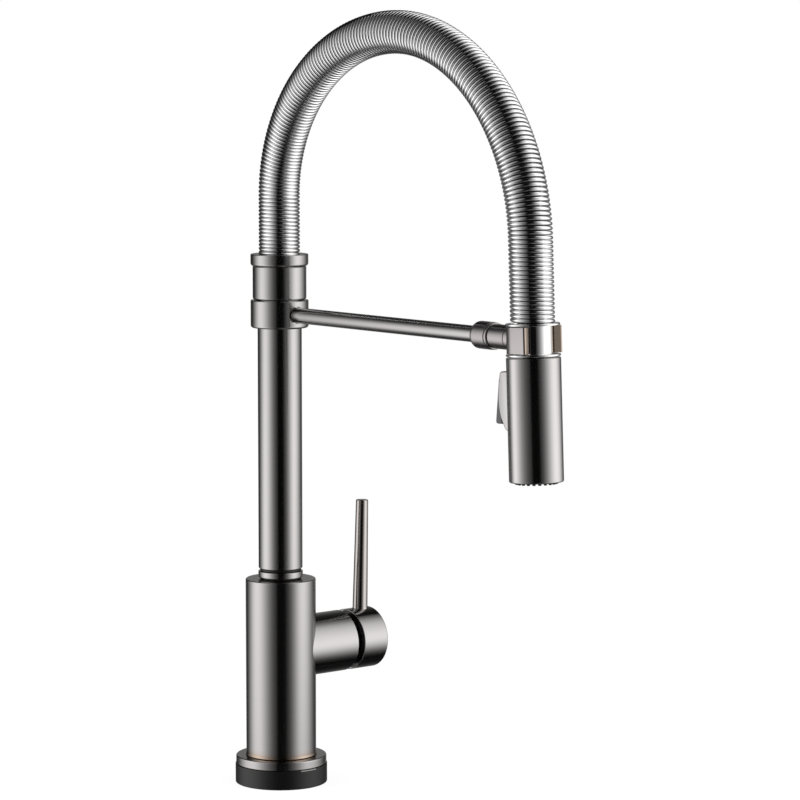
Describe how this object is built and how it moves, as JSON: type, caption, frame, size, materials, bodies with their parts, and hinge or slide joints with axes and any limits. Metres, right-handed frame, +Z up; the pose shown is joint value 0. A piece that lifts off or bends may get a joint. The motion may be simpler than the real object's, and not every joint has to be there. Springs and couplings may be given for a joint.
{
  "type": "spring spout kitchen faucet",
  "caption": "Single-lever kitchen faucet with a coil spring arch, a docking arm and a pull-out spray wand on a round touch base.",
  "frame": {"origin": "centre of the base on the deck plane", "axes": "+Z up along the riser, +X along the spout towards the user, +Y towards the handle"},
  "size_m": [0.3127, 0.1103, 0.603],
  "materials": {
    "dark_steel": "satin black stainless",
    "chrome": "polished",
    "steel": "plain",
    "brass": "turned",
    "black_plastic": "matt",
    "white_plastic": "matt",
    "grey_plastic": "satin",
    "rubber": "matt",
    "lens": "gloss",
    "magnet": "plated",
    "board": "coated"
  },
  "bodies": {
    "base": {"touch_base_ring": "black_plastic", "deck_gasket": "rubber", "indicator_lens": "lens", "indicator_board": "board", "trim_ring": "dark_steel", "mounting_shank": "brass", "seal_washer": "rubber", "steel_washer": "steel", "mounting_nut": "brass", "cold_inlet_tube": "steel", "hot_inlet_tube": "steel", "valve_body": "dark_steel", "valve_block": "brass", "mixing_cartridge": "white_plastic", "bonnet_nut": "black_plastic", "glide_washer": "black_plastic", "swivel_collar": "dark_steel", "glide_ring": "black_plastic", "lower_seal_ring": "rubber", "upper_seal_ring": "rubber", "retaining_clip": "steel"},
    "rotor": {"cartridge_rotor": "white_plastic", "stem_pin": "steel"},
    "handle": {"cartridge_stem": "brass", "handle_cap": "dark_steel", "handle_lever": "dark_steel", "handle_grub_screw": "steel"},
    "spout": {"riser_bushing": "white_plastic", "riser_tube": "dark_steel", "arm_ring": "dark_steel", "arm_grub_screw": "steel", "hub_sleeve": "dark_steel", "spring_seat": "dark_steel", "hose_nipple": "brass", "spout_spring": "chrome", "spray_hose": "rubber", "support_arm": "dark_steel", "arm_ferrule": "dark_steel", "arm_lock_ring": "dark_steel", "cradle_neck": "dark_steel", "docking_cradle": "dark_steel", "dock_magnet": "magnet"},
    "spool": {"dock_spool": "chrome", "wand_nipple": "brass"},
    "wand": {"wand_shell": "dark_steel", "spray_core": "white_plastic", "nozzle_pad": "rubber", "aerator_housing": "grey_plastic", "aerator_screen": "steel", "button_bezel": "dark_steel", "rocker_pin": "steel"},
    "rocker": {"spray_rocker": "grey_plastic"},
    "diverter": {"diverter_rod": "steel"}
  },
  "joints": [
    {"name": "spout_swivel", "type": "hinge", "parent": "base", "child": "spout", "pos_m": [0, 0, 0.15], "axis": [0, 0, 1], "continuous": true},
    {"name": "wand_undock", "type": "slide", "parent": "spout", "child": "spool", "axis": [0.999, 0, 0.0436], "range_m": [0, 0.06], "stiffness_N_per_m": 60, "deforming": ["spout_spring", "spray_hose"]},
    {"name": "wand_spin", "type": "hinge", "parent": "spool", "child": "wand", "pos_m": [0.2598, 0, 0.3254], "axis": [-0.0436, 0, 0.999], "continuous": true},
    {"name": "spray_rocker_press", "type": "hinge", "parent": "wand", "child": "rocker", "pos_m": [0.23984, 0, 0.28969], "axis": [0, -1, 0], "range_deg": [0, 7.5], "stiffness_Nm_per_rad": 0.05},
    {"name": "diverter_push", "type": "slide", "parent": "wand", "child": "diverter", "axis": [0.999, 0, 0.0436], "range_m": [0, 0.00138]},
    {"name": "handle_temperature", "type": "hinge", "parent": "base", "child": "rotor", "pos_m": [0, 0.0453, 0.0929], "axis": [0, 1, 0], "range_deg": [-45, 45]},
    {"name": "handle_flow", "type": "hinge", "parent": "rotor", "child": "handle", "pos_m": [0, 0.0453, 0.0929], "axis": [-1, 0, 0], "range_deg": [0, 12]}
  ],
  "couplings": [
    {"joint": "spray_rocker_press", "follows": "diverter_push", "rad_per_m": 88.4}
  ]
}
